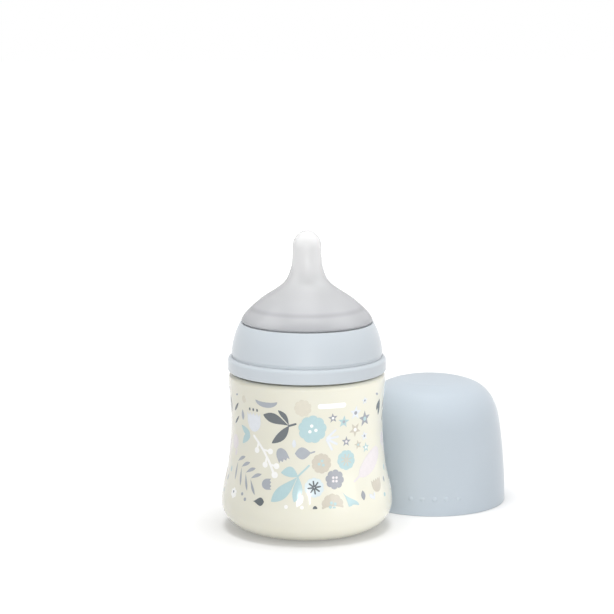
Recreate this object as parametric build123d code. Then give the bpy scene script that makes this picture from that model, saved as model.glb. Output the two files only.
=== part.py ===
"""Wide-neck baby bottle with a silicone teat, a screw collar and a loose domed cap.

Millimetres, +Z up. The origin is the centre of the bottle's base. The bottle, teat and
collar share the Z axis. The cap stands beside them on the same surface, mouth down.
"""
import os
from math import cos, pi, radians, sin

from build123d import *

# Bottle body
base_r = 22.0  # flat face that the bottle stands on
belly_r = 34.3
belly_z = 10.3
flank_r = 32.3  # on the way from the belly to the waist
flank_z = 22.0
hollow_r = 30.9
hollow_z = 31.5
waist_r = 30.25
waist_z = 44.5
chest_r = 31.0
chest_z = 57.0
shoulder_r = 31.2
shoulder_z = 62.9
shoulder_inner_round = 0.3
body_wall = 1.4
stack_groove_r = 17.0  # ring groove under the base
stack_groove_width = 2.0
stack_groove_depth = 0.5

# Bottle neck
neck_r = 26.2  # outside, between the threads
neck_wall = 1.8
neck_height = 14.3
rim_round = 0.5

# Thread: a two-start right-hand thread, with the same rib section on neck and collar
thread_starts = 2
thread_pitch = 4.0
thread_depth = 1.5
thread_root_width = 2.0
thread_crest_width = 1.0
thread_turns = 0.9  # of each rib
thread_start_height = 3.6  # first rib's centre above the shoulder
thread_clearance = 0.3  # from crest to root
thread_flank_gap = 0.3
rib_sink = 0.4  # how far a rib's root is buried in its wall

# Teat
teat_wall = 1.7
tip_wall = 2.2
teat_flange_thickness = 1.8
teat_flange_clearance = 0.2  # to the collar's bore
dome_overhang = 1.6  # of the dome's edge, past the part inside the collar's lip
dome_edge_round = 0.9
dome_height = 16.8  # from the dome's edge to the root of the nipple
dome_shape = ((0.87, 0.27), (0.6, 0.56), (0.32, 0.785), (0.12, 1.01), (0.04, 1.24))
nipple_r = 5.75
nipple_height = 19.6  # above its root
tip_height = 6.6  # of the round end of the nipple
dome_rib_r = 0.8  # stiffening ring inside the dome
dome_rib_height = 5.2  # above the dome's edge
feed_hole_r = 0.4
vent_width = 1.2
vent_depth = 0.4

# Collar
collar_gap = 0.7  # shoulder to collar
collar_ring_width = 1.4  # how far the ring at the foot stands out
collar_ring_height = 5.8
collar_ring_foot_round = 0.9
collar_ring_top_round = 1.5
collar_wall = 2.1  # outside the threads
collar_groove_height = 1.1
collar_groove_depth = 0.4
collar_lip_height = 3.9
collar_lip_overlap = 1.5  # how far the lip reaches in over the bottle's neck
collar_top_wall = 1.8  # at the opening
edge_round = 0.3  # small rounds on the collar and the cap's mouth
seal_gap = 0.05  # each side of the teat's flange
lip_clearance = 0.2  # collar's lip to teat
tunnel_clearance = 0.5  # neck to the narrow bore above the threads

# Cap
cap_clearance = 0.12  # inside the mouth, over the collar
cap_wall = 1.3
cap_seat_gap = 0.05
cap_tip_clearance = 0.6  # above the teat's tip
cap_shape = ((0.98, 0.3), (0.925, 0.61), (0.835, 0.815), (0.665, 0.93))
cap_crown_r = 13.2  # nearly flat disc on top
cap_crown_rise = 0.9
cap_crown_edge_slope = 0.24
cap_bead_height = 0.25  # snap bead inside the mouth
cap_dots = 5  # raised dots on the front, low down
cap_dot_r = 1.1
cap_dot_height = 0.35
cap_dot_spacing = 5.0
cap_dot_z = 7.0
cap_gap = 1.4  # from the bottle's belly to the cap standing beside it
cap_bearing = 39.0  # degrees from +X towards +Y

# Worked out from the above
shoulder_round = shoulder_inner_round + body_wall
neck_bore_r = neck_r - neck_wall
rim_z = shoulder_z + neck_height
thread_lead = thread_starts * thread_pitch
thread_z = shoulder_z + thread_start_height
collar_bore_r = neck_r + thread_depth + thread_clearance
collar_z = shoulder_z + collar_gap
collar_ring_top = collar_z + collar_ring_height
collar_seat_r = collar_bore_r + collar_wall
collar_ring_r = collar_seat_r + collar_ring_width
tunnel_r = neck_r + tunnel_clearance
tunnel_z = thread_z + thread_turns * thread_lead + thread_root_width / 2 + thread_clearance
flange_z = rim_z + seal_gap
flange_top = flange_z + teat_flange_thickness
lip_z = flange_top + seal_gap
lip_r = neck_r - collar_lip_overlap
collar_top = lip_z + collar_lip_height
teat_r = lip_r - lip_clearance
dome_edge_r = teat_r + dome_overhang
dome_edge_z = collar_top + lip_clearance
nipple_root_z = dome_edge_z + dome_height
tip_z = nipple_root_z + nipple_height
cap_mouth_r = collar_seat_r + cap_clearance
cap_height = tip_z + cap_tip_clearance + cap_wall - collar_ring_top - cap_seat_gap
cap_distance = belly_r + cap_gap + cap_mouth_r + cap_wall
cap_x = cap_distance * cos(radians(cap_bearing))
cap_y = cap_distance * sin(radians(cap_bearing))


def turned(*edges):
    """Solid of revolution about Z. The edges close an outline of radius, height."""
    return revolve(Plane.XZ * make_face(list(edges)), Axis.Z)


def path(*points):
    """Straight edges from point to point."""
    return [Line(a, b) for a, b in zip(points, points[1:])]


def inside(curve, distance, count=9):
    """Curve that runs at a distance to the left of another one."""
    points = []
    for i in range(count):
        tangent = curve % (i / (count - 1))
        points.append(curve @ (i / (count - 1)) + Vector(-tangent.Y, tangent.X) * distance)
    return Spline(*points, tangents=(curve % 0, curve % 1))


def disc(radius, low, high):
    """Upright cylinder between two heights."""
    return Pos(0, 0, low) * Cylinder(radius, high - low, align=(Align.CENTER, Align.CENTER, Align.MIN))


def ring(outer_r, inner_r, low, high):
    """Upright tube between two heights."""
    return disc(outer_r, low, high) - disc(inner_r, low, high)


def round_end(radius, low, high):
    """Quarter of an ellipse, from a radius at the lower height in to the axis at the upper one."""
    pull = 0.5523  # length of a quarter ellipse's control arm, as a share of its radius
    return Bezier((radius, low), (radius, low + pull * (high - low)), (pull * radius, high), (0, high))


def body_side():
    """Outside of the bottle from the belly up to the shoulder's round."""
    return Spline(
        (belly_r, belly_z),
        (flank_r, flank_z),
        (hollow_r, hollow_z),
        (waist_r, waist_z),
        (chest_r, chest_z),
        (shoulder_r, shoulder_z - shoulder_round),
        tangents=((0, 1), (0, 1)),
    )


def body_solid(inset):
    """The bottle's body as a filled shape, pulled in by inset on every side."""
    side = inside(body_side(), inset) if inset else body_side()
    reach = belly_r - base_r - inset
    foot = EllipticalCenterArc((base_r, belly_z), reach, belly_z - inset, 270, arc_size=90)
    turn = shoulder_round - inset
    top = shoulder_z - inset
    corner = shoulder_r - shoulder_round
    shoulder = CenterArc((corner, top - turn), turn, 0, 90)
    return turned(foot, side, shoulder, *path((corner, top), (0, top), (0, inset), (base_r, inset)))


def rounded(solid, *edges):
    """Solid with small rounds on the round edges at each radius, height."""
    for radius, height in edges:
        rings = solid.edges().filter_by(GeomType.CIRCLE)
        level = rings.filter_by_position(Axis.Z, height - 0.01, height + 0.01)
        solid = fillet([e for e in level if abs(e.radius - radius) < 0.01], edge_round)
    return solid


def thread_rib(root_r, outward, height, turn):
    """One helical rib that stands out from root_r (outward 1) or in from it (outward -1)."""
    helix = Helix(thread_lead, thread_lead * thread_turns, root_r)
    slope = (thread_root_width - thread_crest_width) / 2 / thread_depth
    root = thread_root_width / 2 + slope * rib_sink
    crest = thread_crest_width / 2
    section = make_face(
        path(
            (-outward * rib_sink, -root),
            (outward * thread_depth, -crest),
            (outward * thread_depth, crest),
            (-outward * rib_sink, root),
            (-outward * rib_sink, -root),
        )
    )
    start = Plane(origin=helix @ 0, x_dir=(1, 0, 0), z_dir=helix % 0)
    rib = sweep(start * section, path=helix, is_frenet=True)
    return Pos(0, 0, height) * Rot(0, 0, turn) * rib


def threads(root_r, outward, height):
    """All the ribs of the neck or the collar."""
    return [thread_rib(root_r, outward, height, 360 / thread_starts * i) for i in range(thread_starts)]


def make_bottle():
    """Blow-moulded body with a wide threaded neck, open at the rim."""
    shell = body_solid(0) + disc(neck_r, shoulder_z - body_wall, rim_z)
    shell -= body_solid(body_wall)
    shell -= disc(neck_bore_r, shoulder_z - body_wall - 1, rim_z)
    rim = shell.edges().filter_by(GeomType.CIRCLE).group_by(Axis.Z)[-1]
    shell = fillet(rim, rim_round)
    half = stack_groove_width / 2
    shell -= ring(stack_groove_r + half, stack_groove_r - half, 0, stack_groove_depth)
    for rib in threads(neck_r, 1, thread_z):
        shell += rib
    return shell


def dome_side():
    """Outside of the teat from above the dome's edge up to the round tip.

    Each pair in dome_shape is a share of the way out from the nipple and up the dome.
    """
    spread = dome_edge_r - nipple_r
    between = [(nipple_r + spread * out, dome_edge_z + dome_height * up) for out, up in dome_shape]
    return Spline(
        (dome_edge_r, dome_edge_z + dome_edge_round),
        *between,
        (nipple_r, tip_z - tip_height),
        tangents=((-0.4, 1), (0, 1)),
    )


def make_teat():
    """Silicone teat: a flange clamped under the collar's lip, a dome and a nipple."""
    side = dome_side()
    flange_r = tunnel_r - teat_flange_clearance
    edge = ThreePointArc(
        (teat_r, dome_edge_z),
        (dome_edge_r - dome_edge_round * 0.3, dome_edge_z + dome_edge_round * 0.25),
        side @ 0,
    )
    outer = turned(
        *path(
            (0, flange_z),
            (flange_r, flange_z),
            (flange_r, flange_top),
            (teat_r, flange_top),
            (teat_r, dome_edge_z),
        ),
        edge,
        side,
        round_end(nipple_r, tip_z - tip_height, tip_z),
        Line((0, tip_z), (0, flange_z)),
    )
    inner_side = inside(side, teat_wall)
    bore_r = teat_r - teat_wall
    top = inner_side @ 1
    crown = tip_z - tip_wall
    inner = turned(
        *path((0, flange_z), (bore_r, flange_z), (bore_r, dome_edge_z - lip_clearance), inner_side @ 0),
        inner_side,
        round_end(top.X, top.Y, crown),
        Line((0, crown), (0, flange_z)),
    )
    teat = outer - inner
    rib_z = dome_edge_z + dome_rib_height
    rib_r = dome_radius_at(rib_z) - teat_wall
    teat += Pos(0, 0, rib_z) * Torus(rib_r, dome_rib_r)
    teat -= disc(feed_hole_r, crown - 1, tip_z + 1)
    vent = Box(flange_r, vent_width, vent_depth, align=(Align.MIN, Align.CENTER, Align.MIN))
    return teat - Pos(bore_r - 1, 0, flange_z) * vent


def dome_radius_at(height):
    """Outer radius of the dome at a height."""
    level = Line((0, height), (belly_r, height))
    return (dome_side() & level).vertex().X


def make_collar():
    """Screw collar: a ring at the foot, a groove that the cap snaps into and an inner lip."""
    groove_r = collar_seat_r - collar_groove_depth
    groove_top = collar_ring_top + collar_groove_height
    top_r = lip_r + collar_top_wall
    foot = collar_ring_foot_round
    top = collar_ring_top_round
    outer = turned(
        *path((0, collar_z), (collar_ring_r - foot, collar_z)),
        CenterArc((collar_ring_r - foot, collar_z + foot), foot, 270, 90),
        Line((collar_ring_r, collar_z + foot), (collar_ring_r, collar_ring_top - top)),
        CenterArc((collar_ring_r - top, collar_ring_top - top), top, 0, 90),
        *path(
            (collar_ring_r - top, collar_ring_top),
            (groove_r, collar_ring_top),
            (groove_r, groove_top),
            (collar_seat_r, groove_top),
        ),
        Spline(
            (collar_seat_r, groove_top),
            (top_r + (collar_seat_r - top_r) * 0.66, groove_top + (collar_top - groove_top) * 0.56),
            (top_r, collar_top),
            tangents=((-0.06, 1), (-0.6, 1)),
        ),
        *path((top_r, collar_top), (0, collar_top), (0, collar_z)),
    )
    outer = rounded(outer, (collar_seat_r, groove_top), (top_r, collar_top))
    bore = disc(collar_bore_r, collar_z, tunnel_z)
    bore += disc(tunnel_r, tunnel_z, lip_z)
    bore += disc(lip_r, lip_z, collar_top)
    collar = outer - bore
    mesh = thread_root_width - (thread_root_width - thread_crest_width) / 2 * (
        1 + thread_clearance / thread_depth
    )
    for rib in threads(collar_bore_r, -1, thread_z - mesh - thread_flank_gap):
        collar += rib
    return collar


def cap_side():
    """Outside of the cap from the mouth up to the edge of its crown.

    Each pair in cap_shape is a share of the mouth's outer radius and of the height.
    """
    mouth = cap_mouth_r + cap_wall
    return Spline(
        (mouth, 0),
        *[(mouth * out, cap_height * up) for out, up in cap_shape],
        (cap_crown_r, cap_height - cap_crown_rise),
        tangents=((0, 1), (-1, cap_crown_edge_slope)),
    )


def cap_filled(side, top):
    """Filled shape under a side curve, closed by a shallow crown that ends at height top."""
    crown = TangentArc((0, top), side @ 1, tangent=(1, 0))
    return turned(side, crown, Line((0, top), (0, 0)), Line((0, 0), side @ 0))


def make_cap():
    """Domed travel cap, standing mouth down beside the bottle."""
    side = cap_side()
    shell = cap_filled(side, cap_height)
    shell -= cap_filled(inside(side, cap_wall, 17), cap_height - cap_wall)
    shell = rounded(shell, (cap_mouth_r + cap_wall, 0), (cap_mouth_r, 0))
    bead_z = collar_groove_height / 2
    shell += Pos(0, 0, bead_z) * Torus(cap_mouth_r + cap_bead_height, 2 * cap_bead_height)
    for i in range(cap_dots):
        turn = degrees_between_dots() * (i - (cap_dots - 1) / 2)
        shell += Rot(0, 0, turn) * raised_dot()
    return Pos(cap_x, cap_y, 0) * shell


def degrees_between_dots():
    """Angle between neighbouring dots on the cap."""
    return cap_dot_spacing / (cap_mouth_r + cap_wall) * 180 / pi


def raised_dot():
    """One low round dot, at the front of the cap."""
    radius = (cap_dot_r**2 + cap_dot_height**2) / (2 * cap_dot_height)
    level = Line((0, cap_dot_z), (belly_r + cap_wall, cap_dot_z))
    wall_r = (cap_side() & level).vertex().X
    ball = Pos(0, -(wall_r + cap_dot_height - radius), cap_dot_z) * Sphere(radius)
    keep = Pos(0, -wall_r, cap_dot_z) * Box(3 * cap_dot_r, cap_wall, 3 * cap_dot_r)
    return ball & keep


os.makedirs("parts", exist_ok=True)
export_step(make_bottle(), "parts/bottle.step")
export_step(make_teat(), "parts/teat.step")
export_step(make_collar(), "parts/collar.step")
export_step(make_cap(), "parts/cap.step")
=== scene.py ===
"""Looks for a baby bottle with a silicone teat, a screw collar and a loose domed cap.

The four moulded pieces are the CAD nodes themselves, with their own materials. Made here are
the floral print, thin films of ink wrapped on the bottle's side, and the measuring scale on
its back. Lengths are in metres, except in the print's drawings, which are in millimetres.
"""
import math

import bmesh
import bpy
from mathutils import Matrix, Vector
from mathutils.bvhtree import BVHTree
from mathutils.geometry import delaunay_2d_cdt


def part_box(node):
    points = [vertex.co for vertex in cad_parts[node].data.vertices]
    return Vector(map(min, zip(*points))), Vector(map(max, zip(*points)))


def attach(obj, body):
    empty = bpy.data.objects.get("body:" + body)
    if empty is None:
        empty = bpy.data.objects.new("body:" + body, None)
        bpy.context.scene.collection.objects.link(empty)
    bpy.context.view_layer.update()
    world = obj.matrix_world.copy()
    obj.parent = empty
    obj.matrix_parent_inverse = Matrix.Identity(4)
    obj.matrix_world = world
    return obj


MM = 0.001
MILLILITRE = 1e-6  # cubic metres

# Camera
CAMERA_DISTANCE = 0.783
CAMERA_HEIGHT = 0.222
CAMERA_TILT = 9.645  # degrees down
CAMERA_LENS = 117.3  # mm
CAMERA_SENSOR = 36  # mm wide

# Ink
INK_RISE = 0.05 * MM  # top of the first film above the bottle's side
INK_STEP = 0.03 * MM  # each film printed over another one
INK_ROOT = 0.05 * MM  # underside, below the bottle's side
INK_GRID = 1.0  # mm between the points inside a shape
MERGED = 0.02  # mm: points of an outline nearer than this become one
SNAPPED = 1e-5  # mm: the same, in the triangulation
REPEAT = 146  # degrees between one repeat of the print and the next
PRINT_REACH = 150  # degrees each way from the front; the scale has the rest
INKS = {  # colour and the record's slot
    "blue": ((0.435, 0.595, 0.62), "print_blue"),
    "slate": ((0.13, 0.148, 0.16), "print_slate"),
    "dusk": ((0.33, 0.345, 0.38), "print_slate"),
    "grey": ((0.38, 0.405, 0.445), "print_grey"),
    "beige": ((0.575, 0.535, 0.455), "print_beige"),
    "sand": ((0.675, 0.64, 0.54), "print_beige"),
    "white": ((0.90, 0.90, 0.88), "print_white"),
    "lavender": ((0.73, 0.76, 0.80), "print_white"),
    "ice": ((0.66, 0.745, 0.775), "print_white"),
    "cream": ((0.745, 0.70, 0.71), "print_white"),
}

# Points or steps in an outline
DOT_POINTS = 28
FLOWER_POINTS = 120
LEAF_STEPS = 22
STROKE_STEPS = 10
END_STEPS = 6
CUP_STEPS = 24
ARC_STEPS = 18

# Measuring scale, in millilitres and millimetres
SCALE_STEP = 10
SCALE_NUMBERED = 30
SCALE_FULL = 150
SCALE_TURN = 172  # degrees round to the foot of the marks
SHORT_MARK = 3.2
LONG_MARK = 6.0
MARK_WIDTH = 0.4
DIGIT_HEIGHT = 3.0
DIGIT_STEP = 0.8  # from one digit to the next, beside a height of 1
DIGIT_LINE = 0.42
NUMBER_GAP = 1.2
FILL_STEP = 0.1  # height of the slices that the volume is added up from

# Plastics: the darker and the lighter tone of a faint mottle, and the grain's height
BOTTLE_TONES = ((0.72, 0.707, 0.61), (0.746, 0.732, 0.635))
BOTTLE_GRAIN = 0.02 * MM
COLLAR_TONES = ((0.48, 0.522, 0.558), (0.495, 0.537, 0.573))
COLLAR_GRAIN = 0.004 * MM
CAP_TONES = ((0.485, 0.545, 0.60), (0.505, 0.565, 0.62))
CAP_GRAIN = 0.006 * MM
SILICONE_TONES = ((0.97, 0.97, 0.97), (1, 1, 1))  # times the colour below
SILICONE_GRAIN = 0.01 * MM
PLASTIC_IOR = 1.49
SILICONE_IOR = 1.41
INK_MOTTLE = 0.96  # darker tone beside the ink's colour
MOTTLE_RANGE = (0.3, 0.7)  # of the noise, from one tone to the other
MOTTLE_DETAIL = 3.0

# Silicone's colour up the dome and the nipple, as (share of the height, colour), ends first. It is
# painted light and shade: darker towards the collar, a painted dark ring of shade low on the dome,
# and lighter up the nipple.
SILICONE_SHADE_STOPS = (
    (0.0, (0.46, 0.47, 0.49)),
    (1.0, (0.76, 0.76, 0.76)),
    (0.13, (0.505, 0.51, 0.525)),
    (0.162, (0.44, 0.445, 0.46)),
    (0.20, (0.515, 0.52, 0.535)),
    (0.32, (0.52, 0.525, 0.535)),
    (0.72, (0.765, 0.765, 0.77)),
)

# Lights: place, size, and radiance beside a white of 1
LIGHTS_AIM = (0, 0, 0.06)
PANE_LEFT = (-0.17, -1.07, 0.26), (0.13, 0.10), 20.0
PANE_RIGHT = (0.065, -1.07, 0.25), (0.05, 0.13), 20.0
TOP = (0.0, 0.0, 1.0), (0.5, 0.5), 9.0
FRONT = (-0.02, -1.15, 0.25), (0.16, 0.5), 8.7
SHINE = (0.0, -1.15, 0.23), (0.10, 0.46), 22.0
RIGHT = (0.95, -0.75, 0.35), (0.9, 0.9), 2.1
BESIDE_LEFT = (-0.75, 0.0, 0.75), (0.7, 0.7), 2.2
BESIDE_RIGHT = (0.75, 0.0, 0.75), (0.7, 0.7), 2.2
CROWN = (0.1, -0.80, 0.72), (0.3, 0.2), 4.0
LOW = (-0.5, -0.9, 0.1), (0.4, 0.4), 3.0

# Backdrop's light from the left and from the right
WORLD_LEFT, WORLD_RIGHT = 0.50, 0.68
WORLD_REACH = 0.6  # X of the direction, each way, at which it gets there

# Floor
FLOOR_HALF = 4.0
FLOOR_DROP = 0.05 * MM
FLOOR_WHITE = 0.74
FLOOR_GLOW, FLOOR_FAR_GLOW = 0.15, 0.6  # near the object, and further out
GLOW_NEAR, GLOW_FAR = 0.15, 0.6  # distance from the origin

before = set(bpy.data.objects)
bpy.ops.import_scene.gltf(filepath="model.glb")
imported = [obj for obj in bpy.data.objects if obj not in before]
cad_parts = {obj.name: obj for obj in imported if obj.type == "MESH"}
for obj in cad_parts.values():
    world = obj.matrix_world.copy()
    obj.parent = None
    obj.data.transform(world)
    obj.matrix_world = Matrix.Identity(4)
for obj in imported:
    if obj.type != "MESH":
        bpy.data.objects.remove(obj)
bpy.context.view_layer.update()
bottle_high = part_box("bottle")[1]


# ---------------------------------------------------------------- materials

def new_material(name):
    """Material with its Principled shader, its node list and a function that links."""
    material = bpy.data.materials.new(name)
    material.use_nodes = True
    tree = material.node_tree
    return material, tree.nodes["Principled BSDF"], tree.nodes, tree.links.new


def set_sockets(node, values):
    """Sets a node's sockets by name."""
    for name, value in values.items():
        node.inputs[name].default_value = value


def noise_in_object(nodes, link, scale, detail):
    """Noise in object space. Returns its socket."""
    coords = nodes.new("ShaderNodeTexCoord")
    noise = nodes.new("ShaderNodeTexNoise")
    set_sockets(noise, {"Scale": scale, "Detail": detail})
    link(coords.outputs["Object"], noise.inputs["Vector"])
    return noise.outputs["Fac"]


def mottle(nodes, link, scale, tones):
    """Noise ramped between two tones. Returns the colour socket."""
    ramp = nodes.new("ShaderNodeValToRGB")
    for element, position, tone in zip(ramp.color_ramp.elements, MOTTLE_RANGE, tones):
        element.position = position
        element.color = (*tone, 1)
    link(noise_in_object(nodes, link, scale, MOTTLE_DETAIL), ramp.inputs["Fac"])
    return ramp.outputs["Color"]


def height_ramp(nodes, link, bottom, top, stops):
    """Colours up the object. The first two stops are the ramp's own ends."""
    coords = nodes.new("ShaderNodeTexCoord")
    split = nodes.new("ShaderNodeSeparateXYZ")
    share = nodes.new("ShaderNodeMapRange")
    set_sockets(share, {"From Min": bottom, "From Max": top})
    ramp = nodes.new("ShaderNodeValToRGB")
    ramp.color_ramp.interpolation = "EASE"
    elements = ramp.color_ramp.elements
    for i, (position, colour) in enumerate(stops):
        element = elements[i] if i < 2 else elements.new(position)
        element.position = position
        element.color = (*colour, 1)
    link(coords.outputs["Object"], split.inputs["Vector"])
    link(split.outputs["Z"], share.inputs["Value"])
    link(share.outputs["Result"], ramp.inputs["Fac"])
    return ramp.outputs["Color"]


def multiplied(nodes, link, first, second):
    """Product of two colours."""
    mix = nodes.new("ShaderNodeMix")
    mix.data_type = "RGBA"
    mix.blend_type = "MULTIPLY"
    set_sockets(mix, {"Factor": 1.0})
    colour_a, colour_b, colour_result = 6, 7, 2  # the node's sockets for colours
    link(first, mix.inputs[colour_a])
    link(second, mix.inputs[colour_b])
    return mix.outputs[colour_result]


def add_bump(nodes, link, shader, scale, height, detail=2.0):
    """Fine moulded grain as a bump."""
    bump = nodes.new("ShaderNodeBump")
    set_sockets(bump, {"Distance": height, "Strength": 1.0})
    link(noise_in_object(nodes, link, scale, detail), bump.inputs["Height"])
    link(bump.outputs["Normal"], shader.inputs["Normal"])


def bottle_plastic():
    """Glossy, slightly translucent cream plastic."""
    material, shader, nodes, link = new_material("bottle_plastic")
    link(mottle(nodes, link, 18, BOTTLE_TONES), shader.inputs["Base Color"])
    set_sockets(shader, {
        "Roughness": 0.2,
        "Specular IOR Level": 0.1,
        "IOR": PLASTIC_IOR,
        "Subsurface Weight": 0.3,
        "Subsurface Radius": (1.0, 0.9, 0.65),
        "Subsurface Scale": 0.8 * MM,
        "Coat Weight": 0.6,
        "Coat Roughness": 0.02,
    })
    add_bump(nodes, link, shader, 60, BOTTLE_GRAIN, 1.0)
    return material


def silicone():
    """Frosted, translucent silicone, with painted light and shade up its height: darker towards the
    collar, a painted dark ring low on the dome, lighter up the nipple.
    """
    material, shader, nodes, link = new_material("silicone")
    cloud = mottle(nodes, link, 30, SILICONE_TONES)
    # Painted light and shade up the height: darker towards the collar, a painted dark ring low on
    # the dome, lighter up the nipple.
    depth = height_ramp(nodes, link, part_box("collar")[1].z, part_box("teat")[1].z, SILICONE_SHADE_STOPS)
    link(multiplied(nodes, link, cloud, depth), shader.inputs["Base Color"])
    set_sockets(shader, {
        "Roughness": 0.26,
        "IOR": SILICONE_IOR,
        "Transmission Weight": 0.3,
        "Subsurface Weight": 0.4,
        "Subsurface Radius": (1.0, 1.0, 1.0),
        "Subsurface Scale": 1.0 * MM,
    })
    add_bump(nodes, link, shader, 900, SILICONE_GRAIN)
    return material


def satin_blue(name, tones, grain):
    """Pale blue moulded plastic with a fine satin grain."""
    material, shader, nodes, link = new_material(name)
    link(mottle(nodes, link, 25, tones), shader.inputs["Base Color"])
    set_sockets(shader, {
        "Roughness": 0.42,
        "IOR": PLASTIC_IOR,
        "Subsurface Weight": 0.15,
        "Subsurface Radius": (0.8, 0.9, 1.0),
        "Subsurface Scale": 0.6 * MM,
        "Sheen Weight": 0.3,
        "Sheen Roughness": 0.45,
    })
    add_bump(nodes, link, shader, 1400, grain)
    return material


def ink(name, colour):
    """Screen-printed ink with a faint mottle."""
    material, shader, nodes, link = new_material(name)
    darker = [c * INK_MOTTLE for c in colour]
    link(mottle(nodes, link, 700, (darker, colour)), shader.inputs["Base Color"])
    set_sockets(shader, {
        "Roughness": 0.22,
        "IOR": PLASTIC_IOR,
        "Coat Weight": 0.4,
        "Coat Roughness": 0.05,
    })
    return material


def dress(node, material):
    """Gives a CAD node its material."""
    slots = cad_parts[node].data.materials
    slots.clear()
    slots.append(material)


# ---------------------------------------------------------------- shapes of the print
# A drawing is a list of (ink, layer, outline). Outlines are in millimetres, about (0, 0), and
# run anticlockwise.

def polar(radius_at, count):
    """Outline from a radius for each angle."""
    turns = [2 * math.pi * i / count for i in range(count)]
    return [(radius_at(t) * math.cos(t), radius_at(t) * math.sin(t)) for t in turns]


def dot(radius, x=0.0, y=0.0, stretch=1.0):
    """Round or oval outline."""
    return [(x + u, y + v * stretch) for u, v in polar(lambda t: radius, DOT_POINTS)]


def moved(outline, x=0.0, y=0.0, turn=0.0):
    """Outline turned by degrees and moved."""
    c, s = math.cos(math.radians(turn)), math.sin(math.radians(turn))
    return [(x + u * c - v * s, y + u * s + v * c) for u, v in outline]


def cut(outline, level, keep):
    """Outline without what lies below a level (keep is 1) or above it (keep is -1)."""
    kept = []
    for (a, b), (c, d) in zip(outline, outline[1:] + outline[:1]):
        if (b - level) * keep >= 0:
            kept.append((a, b))
        if (b - level) * (d - level) < 0:
            kept.append((a + (level - b) / (d - b) * (c - a), level))
    return kept


def cut_drawing(drawing, level, keep):
    """Drawing cut at a level, without the shapes that it cuts away."""
    pieces = [(colour, layer, cut(outline, level, keep)) for colour, layer, outline in drawing]
    return [piece for piece in pieces if len(piece[2]) > 4]


def leaf(length, width, bend=0.0, belly=0.45):
    """Pointed leaf from its foot at (0, 0) along +X, bent to one side.

    It is widest at belly, which is a share of its length.
    """
    power = math.log(0.5) / math.log(belly)
    shares = [i / LEAF_STEPS for i in range(LEAF_STEPS + 1)]
    middle = [(length * t, bend * math.sin(math.pi * t)) for t in shares]
    half = [width / 2 * math.sin(math.pi * t ** power) ** 0.85 for t in shares]
    lower = [(x, y - h) for (x, y), h in zip(middle, half)]
    upper = [(x, y + h) for (x, y), h in zip(middle, half)]
    return lower + upper[-2:0:-1]


def round_end(x, y, width, first):
    """Half circle of points about a line's end."""
    turns = [first + math.pi * k / END_STEPS for k in range(1, END_STEPS)]
    return [(x + width / 2 * math.cos(t), y + width / 2 * math.sin(t)) for t in turns]


def band(path, width):
    """Line of even width along a path, with round ends."""
    count = len(path)
    left, right, along = [], [], []
    for i, (x, y) in enumerate(path):
        a, b = path[max(i - 1, 0)], path[min(i + 1, count - 1)]
        along.append(math.atan2(b[1] - a[1], b[0] - a[0]))
        u, v = -math.sin(along[i]) * width / 2, math.cos(along[i]) * width / 2
        left.append((x + u, y + v))
        right.append((x - u, y - v))
    start = round_end(*path[0], width, along[0] + math.pi / 2)
    finish = round_end(*path[-1], width, along[-1] - math.pi / 2)
    return left[::-1] + start + right + finish


def stroke(length, width, bend=0.0):
    """Round-ended stroke from (0, 0) along +X."""
    shares = [i / STROKE_STEPS for i in range(STROKE_STEPS + 1)]
    path = [(length * t, bend * math.sin(math.pi * t)) for t in shares]
    return band(path, width)


def scalloped(radius, petals, depth):
    """Round outline with a scalloped edge, the scallops a share of the radius deep."""
    def reach(t):
        return radius * (1 - depth + depth * abs(math.sin(petals * t / 2)) ** 0.6)
    return polar(reach, FLOWER_POINTS)


def star(radius, colour, centre, turn=0.0):
    """Five-pointed star with a dot in the middle."""
    reach = [radius * (1 if i % 2 == 0 else 0.43) for i in range(10)]
    turns = [math.radians(90 + turn + 36 * i) for i in range(10)]
    points = [(r * math.cos(a), r * math.sin(a)) for r, a in zip(reach, turns)]
    return [(colour, 0, points), (centre, 1, dot(radius * 0.25))]


def flower(radius, petals, colour, depth=0.14, dots=None, dot_count=3, dot_radius=0.55):
    """Scalloped flower, and a ring of dots if they are given an ink."""
    drawing = [(colour, 0, scalloped(radius, petals, depth))]
    for i in range(dot_count if dots else 0):
        turn = 2 * math.pi * (i + 0.3) / dot_count
        reach = radius * 0.25
        spot = dot(dot_radius, reach * math.cos(turn), reach * math.sin(turn))
        drawing.append((dots, 1, spot))
    return drawing


def daisy(radius, petals, colour, spokes, length, width):
    """Scalloped flower with eight spokes from its centre."""
    drawing = [(colour, 0, scalloped(radius, petals, 0.1))]
    for i in range(8):
        drawing.append((spokes, 1, moved(moved(stroke(length, width), 0.45), turn=45 * i + 8)))
    return drawing


def tulip(width, height, colour, teeth=4, dots=None):
    """Cup with a toothed top, and a row of three dots over it if they are given an ink."""
    outline = []
    for i in range(2 * teeth + 1):
        u = width / 2 - width * i / (2 * teeth)
        outline.append((u, height * (0.5 if i % 2 == 0 else 0.34)))
    for i in range(CUP_STEPS + 1):
        a = math.pi + math.pi * i / CUP_STEPS
        outline.append((width / 2 * math.cos(a), height * (0.1 + 0.6 * math.sin(a))))
    drawing = [(colour, 0, outline)]
    for i in range(3 if dots else 0):
        drawing.append((dots, 0, dot(0.45, (i - 1) * width * 0.28, height * 0.66, 1.35)))
    return drawing


def sprig(colour, leaves, stalk=None):
    """Leaves (turn, length, width, bend, belly) that share one foot, with a stalk."""
    drawing = [(colour, 0, moved(leaf(*shape), turn=turn)) for turn, *shape in leaves]
    if stalk:
        turn, length, width = stalk
        drawing.append((colour, 0, moved(stroke(length, width), turn=turn)))
    return drawing


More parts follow.
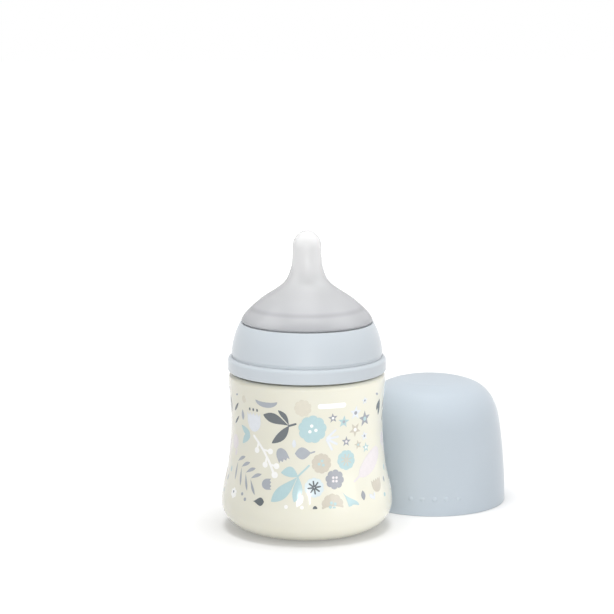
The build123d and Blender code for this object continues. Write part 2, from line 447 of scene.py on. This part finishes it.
def fern(colour, pairs, step, drop):
    """Pairs of slim leaves, each pair a step along and a drop below the last."""
    drawing = []
    for i in range(pairs):
        x, y = step * i, -drop * i
        drawing.append((colour, 0, moved(leaf(5.8, 1.35, 0.25, 0.6), x, y, 29 - i)))
        lower = moved(leaf(7.2 - 0.3 * i, 1.1, -0.2, 0.6), x, y - 0.3, 11 * i - 94)
        drawing.append((colour, 0, lower))
    return drawing


def berry_twig(colour, length):
    """Curved twig with a berry at the end of each side shoot."""
    bend = length * 0.06
    drawing = [(colour, 0, stroke(length, 0.95, bend))]
    for i, reach in enumerate((3.2, 3.4, 3.2, 2.6)):
        x = length * (0.2 + 0.2 * i)
        y = bend * math.sin(math.pi * x / length)
        turn = -48 if i % 2 == 0 else 48
        tip = math.radians(turn)
        drawing.append((colour, 0, moved(stroke(reach, 0.8), x, y, turn)))
        drawing.append((colour, 0, dot(1.15, x + reach * math.cos(tip), y + reach * math.sin(tip))))
    drawing.append((colour, 0, dot(1.3, length + 0.9, 0)))
    return drawing


def plume(colour, length, width):
    """Large soft feather from its foot at (0, 0) along +X, with a notched edge and a quill."""
    barbs = 11
    upper = [(0.16 * length, 0.4)]
    for i in range(barbs):
        t = 0.2 + 0.74 * i / (barbs - 1)
        reach = width / 2 * math.sin(math.pi * (t - 0.08)) ** 0.6
        upper.append((length * (t + 0.055), reach))
        upper.append((length * (t + 0.05), reach * 0.84))
    lower = [(x, -y) for x, y in upper]
    vane = lower + [(length * 1.05, 0)] + upper[::-1]
    return [(colour, 0, vane), (colour, 0, stroke(length * 0.4, 0.8))]


def fan(colour, reach, count, spread, width):
    """Strokes that open out from one point, like a seed head."""
    turns = [spread * (i / (count - 1) - 0.5) for i in range(count)]
    return [(colour, 0, moved(moved(stroke(reach, width), 0.5), turn=turn)) for turn in turns]


def one(colour, outline):
    """Drawing of a single outline."""
    return [(colour, 0, outline)]


def print_motifs():
    """The motifs of one repeat: (degrees round from the front, height, turn, drawing)."""
    slate_leaves = (
        (162, 11.4, 4.0, -0.5, 0.62),
        (126, 7.4, 2.0, -0.7, 0.6),
        (226, 10.4, 3.3, 0.7, 0.5),
    )
    blue_leaves = (
        (171, 6.9, 4.0, -1.1, 0.5),
        (226, 14.4, 4.7, 0.2, 0.63),
        (263, 10.0, 3.6, 0.6, 0.56),
    )
    seedling_leaves = ((140, 3.6, 1.5, 0, 0.6), (80, 2.8, 1.1, 0, 0.6))
    corner_leaf = moved(leaf(10.6, 4.4, 0, 0.74), turn=-52)
    return [
        # top row
        (-64, 56.3, 20, one("grey", leaf(1.8, 0.8))),
        (-53, 55.6, 0, one("sand", dot(1.1, stretch=1.3))),
        (-31, 56.5, 0, one("grey", cut(dot(5.0, stretch=0.52), 0, -1))),
        (-3, 54.6, 0, flower(3.4, 9, "sand")),
        (9.5, 55.2, 0, one("white", stroke(9.7, 2.0))),
        (46.8, 55.6, 4, star(1.7, "lavender", "dusk")),
        (64.5, 56.4, 160, one("grey", leaf(2.4, 1.0))),
        # slate sprig, white tulip and the leaves beside them
        (-69, 49.4, 43, one("slate", leaf(5.9, 1.2))),
        (-69, 44.2, 43, one("slate", leaf(5.6, 1.0))),
        (-55.5, 47.0, 90, one("grey", leaf(4.2, 1.7))),
        (-43, 47.2, 0, tulip(7.0, 7.6, "lavender", 4, "slate")),
        (-13.2, 47.4, 0, sprig("slate", slate_leaves, (18, 2.7, 0.8))),
        (4, 46.2, -53, flower(5.5, 9, "blue", 0.12, "white", 3, 0.65)),
        (-47.5, 42.0, 0, sprig("blue", ((153, 6.1, 2.7, 0.3, 0.4), (225, 6.3, 2.9, -0.3, 0.4)))),
        (68, 54.2, 0, sprig("slate", ((-94, 6.4, 2.1, 0.2, 0.55), (-120, 4.8, 1.9, -0.2, 0.6)))),
        # stars
        (38.2, 51.3, -4, star(2.9, "lavender", "dusk")),
        (19.2, 50.3, 6, star(2.0, "dusk", "white")),
        (28, 48.4, -6, star(2.5, "blue", "grey")),
        (47.8, 48.2, 4, star(3.3, "dusk", "blue")),
        (38.2, 44.6, 34, star(2.9, "beige", "white")),
        (47.8, 41.3, 8, star(2.0, "lavender", "dusk")),
        (30.2, 40.4, -4, star(2.1, "dusk", "cream")),
        (41, 38.4, 10, star(1.9, "beige", "blue")),
        (49, 36.6, 0, star(2.0, "blue", "white")),
        # twig, drops and leaves across the middle
        (-43, 41.8, -54, berry_twig("white", 16.5)),
        (-18.6, 35.8, 205, tulip(4.6, 5.4, "grey", 3)),
        (-9.5, 38.8, 90, one("lavender", leaf(3.4, 1.5))),
        (3.0, 36.9, 0, sprig("grey", ((183, 6.3, 4.7, 0, 0.55),), (18, 1.4, 0.6))),
        (14.3, 42.2, -11, fan("lavender", 4.3, 4, 104, 0.9)),
        (10.5, 32.7, 39, flower(3.9, 10, "beige", 0.1, "blue", 3)),
        (29.8, 33.2, 6, daisy(3.9, 9, "blue", "beige", 1.9, 0.4)),
        (20, 26.2, 14, flower(3.8, 8, "dusk", 0.16, "cream", 4, 0.5)),
        (-68, 37.0, 10, flower(3.0, 9, "cream", 0.12)),
        (-66, 31.6, 70, one("cream", leaf(3.2, 1.7))),
        (35.5, 24.4, 31, plume("cream", 19.0, 7.8)),
        # fern, blue sprig and white daisy
        (-61, 29.9, 0, fern("grey", 4, 3.1, 1.7)),
        (-29.5, 23.8, -84, tulip(4.2, 4.2, "grey", 3)),
        (-6.4, 27.8, 0, sprig("blue", blue_leaves, (44, 6.0, 0.7))),
        (5, 23.5, 0, daisy(3.8, 10, "ice", "slate", 1.9, 0.6)),
        (-71, 24.4, 90, one("blue", leaf(2.6, 1.4))),
        # bottom row, which ends at one level
        (-60, 17.4, 0, flower(2.1, 6, "white", 0.3, "dusk", 1, 0.5)),
        (-50, 18.2, 0, one("grey", dot(0.65))),
        (-46.4, 16.5, 0, one("grey", dot(0.7))),
        (-39, 16.6, 4, one("slate", leaf(5.3, 3.2, 0, 0.68))),
        (-14, 16.0, 0, one("white", dot(0.75))),
        (-3.3, 16.0, 0, one("white", dot(0.7))),
        # White leaf-shaped film where the bottle mirrors the left window pane: a painted reflection
        # of that pane, in white ink.
        (-7, 16.0, 62, one("white", leaf(5.2, 2.2, 0, 0.55))),
        (5.3, 15.4, 0, one("slate", cut(dot(0.9, stretch=1.3), 0, 1))),
        (17.3, 16.4, 0, cut_drawing(flower(4.5, 10, "beige", 0.1, "blue", 4, 0.6), -1.1, 1)),
        (24.6, 21.2, 0, one("blue", cut(corner_leaf, -5.9, 1))),
        (41.6, 16.6, 90, one("dusk", leaf(3.8, 2.2, 0, 0.5))),
        (52, 16.0, 0, sprig("lavender", seedling_leaves, (110, 1.0, 0.6))),
        (57.6, 20.8, 4, tulip(6.4, 5.2, "beige", 4)),
        (66, 16.0, 0, one("blue", dot(0.8))),
        (70, 20.5, 90, one("grey", leaf(2.4, 1.3))),
    ]


# ---------------------------------------------------------------- shapes of the scale

def arc(x, y, wide, tall, start, end):
    """Points along an oval arc, angles in degrees."""
    angles = [start + (end - start) * i / ARC_STEPS for i in range(ARC_STEPS + 1)]
    turns = [math.radians(angle) for angle in angles]
    return [(x + wide * math.cos(t), y + tall * math.sin(t)) for t in turns]


def digit_paths():
    """The lines of each digit that the scale needs, in a box about 0.6 wide and 1 tall."""
    six = [(0.47, 0.95), (0.22, 0.74), (0.08, 0.46)] + arc(0.3, 0.29, 0.24, 0.26, 165, 445)
    return {
        "0": [arc(0.3, 0.5, 0.25, 0.46, 90, 270), arc(0.3, 0.5, 0.25, 0.46, 270, 450)],
        "1": [[(0.14, 0.76), (0.34, 0.96), (0.34, 0.5), (0.34, 0.04)]],
        "2": [arc(0.3, 0.71, 0.24, 0.25, 160, -25) + [(0.06, 0.04)], [(0.06, 0.04), (0.56, 0.04)]],
        "3": [arc(0.28, 0.74, 0.22, 0.22, 150, -75), arc(0.28, 0.28, 0.26, 0.25, 75, -150)],
        "5": [[(0.5, 0.96), (0.15, 0.96), (0.1, 0.54)], arc(0.28, 0.31, 0.26, 0.27, 130, -150)],
        "6": [six],
        "9": [[(0.6 - x, 1 - y) for x, y in six]],
    }


def number(value):
    """Outlines of a number, its middle left at (0, 0)."""
    paths = digit_paths()
    outlines = []
    for i, digit in enumerate(str(value)):
        start = DIGIT_STEP * i
        for path in paths[digit]:
            line = [((x + start) * DIGIT_HEIGHT, (y - 0.5) * DIGIT_HEIGHT) for x, y in path]
            outlines.append(band(line, DIGIT_LINE))
    return outlines


# ---------------------------------------------------------------- wrapping ink on the bottle

class Side:
    """The bottle's side, found by looking in from outside, and out from the middle."""

    def __init__(self, node):
        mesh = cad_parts[node].data
        points = [v.co for v in mesh.vertices]
        self.tree = BVHTree.FromPolygons(points, [p.vertices for p in mesh.polygons])
        self.far = 2 * bottle_high.x

    def radius(self, turn, height):
        """Distance from the middle to the outside."""
        out = Vector((math.sin(turn), -math.cos(turn), 0))
        hit, _, _, _ = self.tree.ray_cast(out * self.far + Vector((0, 0, height)), -out)
        return math.hypot(hit.x, hit.y)

    def point(self, turn, height, rise):
        """Point that stands off the outside by a rise."""
        reach = self.radius(turn, height) + rise
        return Vector((reach * math.sin(turn), -reach * math.cos(turn), height))

    def floor(self):
        """Height of the bottle's floor, inside."""
        hit, _, _, _ = self.tree.ray_cast(Vector((0, 0, bottle_high.z)), Vector((0, 0, -1)))
        return hit.z

    def bore(self, height):
        """Distance from the middle to the inside."""
        hit, _, _, _ = self.tree.ray_cast(Vector((0, 0, height)), Vector((0, -1, 0)))
        return math.hypot(hit.x, hit.y)


def inside(outline, u, v):
    """Whether a point is inside an outline."""
    hit = False
    for (a, b), (c, d) in zip(outline, outline[1:] + outline[:1]):
        if (b > v) != (d > v) and u < a + (v - b) / (d - b) * (c - a):
            hit = not hit
    return hit


def filled(outlines):
    """Points and triangles that fill outlines, which become one where they overlap.

    A grid of points inside lets the film follow the bottle's curve.
    """
    points, faces = [], []
    for outline in outlines:
        first = len(points)
        for p in outline:
            if len(points) == first or math.dist(p, points[-1]) > MERGED:
                points.append(p)
        while math.dist(points[first], points[-1]) <= MERGED:
            points.pop()
        faces.append(list(range(first, len(points))))
    us, vs = [p[0] for p in points], [p[1] for p in points]
    u = min(us) + INK_GRID
    while u < max(us):
        v = min(vs) + INK_GRID
        while v < max(vs):
            if any(inside(outline, u, v) for outline in outlines):
                points.append((u, v))
            v += INK_GRID
        u += INK_GRID
    flat = [Vector(p) for p in points]
    within_faces = 1  # kind of output: the triangles inside the faces
    result = delaunay_2d_cdt(flat, [], faces, within_faces, SNAPPED)
    corners, _, triangles, _, _, filled_by = result
    kept = [tuple(t) for t, face in zip(triangles, filled_by) if face]
    return [tuple(c) for c in corners], kept


def add_film(mesh, side, outlines, turn, height, layer):
    """Adds a closed film of ink to a bmesh: the outlines, wrapped round the bottle."""
    points, triangles = filled(outlines)
    around = side.radius(turn, height)
    top_rise = INK_RISE + layer * INK_STEP
    used = sorted({i for t in triangles for i in t})
    top, root = {}, {}
    for i in used:
        u, v = points[i]
        a = turn + u * MM / around
        z = height + v * MM
        top[i] = mesh.verts.new(side.point(a, z, top_rise))
        root[i] = mesh.verts.new(side.point(a, z, -INK_ROOT))
    edges = {}
    for t in triangles:
        mesh.faces.new([top[i] for i in t])
        mesh.faces.new([root[i] for i in reversed(t)])
        for a, b in zip(t, t[1:] + t[:1]):
            edges.setdefault(frozenset((a, b)), []).append((a, b))
    for uses in edges.values():
        if len(uses) == 1:
            a, b = uses[0]
            mesh.faces.new((top[b], top[a], root[a], root[b]))


def make_print(side, meshes):
    """Adds every motif of the print, at each repeat round the bottle."""
    for shift in (0, REPEAT, -REPEAT):
        for turn, height, spin, drawing in print_motifs():
            if abs(turn + shift) > PRINT_REACH:
                continue
            shapes = {}
            for colour, layer, outline in drawing:
                shapes.setdefault((colour, layer), []).append(moved(outline, turn=spin))
            for (colour, layer), outlines in shapes.items():
                place = math.radians(turn + shift), height * MM
                add_film(meshes[colour], side, outlines, *place, layer)


def make_scale(side, mesh):
    """Adds the marks and numbers, each at the height that its volume fills the bottle to."""
    step = FILL_STEP * MM
    turn = math.radians(SCALE_TURN)
    height = side.floor()
    held = 0.0
    for volume in range(SCALE_STEP, SCALE_FULL + 1, SCALE_STEP):
        while held < volume * MILLILITRE:
            held += math.pi * side.bore(height + step / 2) ** 2 * step
            height += step
        numbered = volume % SCALE_NUMBERED == 0
        length = LONG_MARK if numbered else SHORT_MARK
        add_film(mesh, side, [stroke(length, MARK_WIDTH)], turn, height, 0)
        if numbered:
            outlines = [moved(outline, LONG_MARK + NUMBER_GAP) for outline in number(volume)]
            add_film(mesh, side, outlines, turn, height, 0)


def finish_film(name, mesh, material):
    """Turns a bmesh of ink into a piece that rides on the bottle, and returns it."""
    bmesh.ops.recalc_face_normals(mesh, faces=mesh.faces)
    data = bpy.data.meshes.new(name)
    mesh.to_mesh(data)
    mesh.free()
    data.materials.append(material)
    piece = bpy.data.objects.new(name, data)
    bpy.context.scene.collection.objects.link(piece)
    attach(piece, "bottle")
    return piece


# ---------------------------------------------------------------- stage

def make_camera():
    """Camera in front of the object, looking slightly down."""
    data = bpy.data.cameras.new("camera")
    data.lens = CAMERA_LENS
    data.sensor_width = CAMERA_SENSOR
    camera = bpy.data.objects.new("camera", data)
    camera.location = (0, -CAMERA_DISTANCE, CAMERA_HEIGHT)
    camera.rotation_euler = (math.radians(90 - CAMERA_TILT), 0, 0)
    bpy.context.scene.collection.objects.link(camera)
    bpy.context.scene.camera = camera


def softbox(name, place, size, radiance):
    """Rectangular light that points at the object."""
    data = bpy.data.lights.new(name, "AREA")
    data.shape = "RECTANGLE"
    data.size, data.size_y = size
    data.energy = radiance * math.pi * size[0] * size[1]
    light = bpy.data.objects.new(name, data)
    light.location = place
    light.rotation_euler = (Vector(LIGHTS_AIM) - Vector(place)).to_track_quat("-Z", "Y").to_euler()
    bpy.context.scene.collection.objects.link(light)
    return light


def make_floor():
    """White floor that takes contact shadows near the object and is plain white further out."""
    data = bpy.data.meshes.new("floor")
    ways = ((-1, -1), (1, -1), (1, 1), (-1, 1))
    corners = [(FLOOR_HALF * x, FLOOR_HALF * y, -FLOOR_DROP) for x, y in ways]
    data.from_pydata(corners, [], [(0, 1, 2, 3)])
    floor = bpy.data.objects.new("floor", data)
    bpy.context.scene.collection.objects.link(floor)
    material, shader, nodes, link = new_material("floor")
    set_sockets(shader, {
        "Base Color": (FLOOR_WHITE, FLOOR_WHITE, FLOOR_WHITE, 1),
        "Roughness": 0.9,
        "Emission Color": (1, 1, 1, 1),
        "Specular IOR Level": 0.1,
    })
    coords = nodes.new("ShaderNodeTexCoord")
    away = nodes.new("ShaderNodeVectorMath")
    away.operation = "LENGTH"
    glow = nodes.new("ShaderNodeMapRange")
    glow.interpolation_type = "SMOOTHSTEP"
    set_sockets(glow, {"From Min": GLOW_NEAR, "From Max": GLOW_FAR})
    set_sockets(glow, {"To Min": FLOOR_GLOW, "To Max": FLOOR_FAR_GLOW})
    link(coords.outputs["Object"], away.inputs[0])
    link(away.outputs["Value"], glow.inputs["Value"])
    link(glow.outputs["Result"], shader.inputs["Emission Strength"])
    data.materials.append(material)


def make_world():
    """White backdrop; its light is dimmer from the left than from the right."""
    world = bpy.data.worlds.new("world")
    bpy.context.scene.world = world
    world.use_nodes = True
    nodes, link = world.node_tree.nodes, world.node_tree.links.new
    coords = nodes.new("ShaderNodeTexCoord")
    split = nodes.new("ShaderNodeSeparateXYZ")
    across = nodes.new("ShaderNodeMapRange")
    set_sockets(across, {"From Min": -WORLD_REACH, "From Max": WORLD_REACH})
    set_sockets(across, {"To Min": WORLD_LEFT, "To Max": WORLD_RIGHT})
    path = nodes.new("ShaderNodeLightPath")
    seen = nodes.new("ShaderNodeMix")
    set_sockets(seen, {"B": 1.0})
    link(coords.outputs["Generated"], split.inputs["Vector"])
    link(split.outputs["X"], across.inputs["Value"])
    link(across.outputs["Result"], seen.inputs["A"])
    link(path.outputs["Is Camera Ray"], seen.inputs["Factor"])
    link(seen.outputs["Result"], nodes["Background"].inputs["Strength"])
    set_sockets(nodes["Background"], {"Color": (1, 1, 1, 1)})
    bpy.context.scene.view_settings.view_transform = "Standard"


def light_only(light, lit):
    """Keeps a light to some of the pieces."""
    collection = bpy.data.collections.new("lit_by_" + light.name)
    for piece in lit:
        collection.objects.link(piece)
    light.light_linking.receiver_collection = collection


def make_lights(printed):
    """Soft light from the front and above, with two window panes that the bottle mirrors.

    The other lights each lift one part: a tall strip for the nipple and the collar, one from
    the right for the bottle, one on each side of the dome, and two for the cap.
    """
    bottle = [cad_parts["bottle"], *printed]
    teat, collar, cap = (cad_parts[name] for name in ("teat", "collar", "cap"))
    for setting in (PANE_LEFT, PANE_RIGHT):
        pane = softbox("pane", *setting)
        pane.visible_diffuse = False
        light_only(pane, bottle)
    top = softbox("top", *TOP)
    top.visible_glossy = False
    front = softbox("front", *FRONT)
    front.visible_glossy = False
    shine = softbox("shine", *SHINE)
    light_only(shine, [teat, collar])
    right = softbox("right", *RIGHT)
    light_only(right, bottle)
    for setting in (BESIDE_LEFT, BESIDE_RIGHT):
        beside = softbox("beside", *setting)
        light_only(beside, [teat])
    crown = softbox("crown", *CROWN)
    crown.visible_diffuse = False
    light_only(crown, [cap])
    low = softbox("low", *LOW)
    light_only(low, [cap])
    low.light_linking.blocker_collection = low.light_linking.receiver_collection


make_camera()
make_floor()
make_world()
dress("bottle", bottle_plastic())
dress("teat", silicone())
dress("collar", satin_blue("collar_plastic", COLLAR_TONES, COLLAR_GRAIN))
dress("cap", satin_blue("cap_plastic", CAP_TONES, CAP_GRAIN))

side = Side("bottle")
meshes = {name: bmesh.new() for name in INKS}
make_print(side, meshes)
make_scale(side, meshes["grey"])
printed = []
for name, (colour, slot) in INKS.items():
    film = finish_film("print_" + name, meshes[name], ink("ink_" + name, colour))
    printed.append(film)
make_lights(printed)
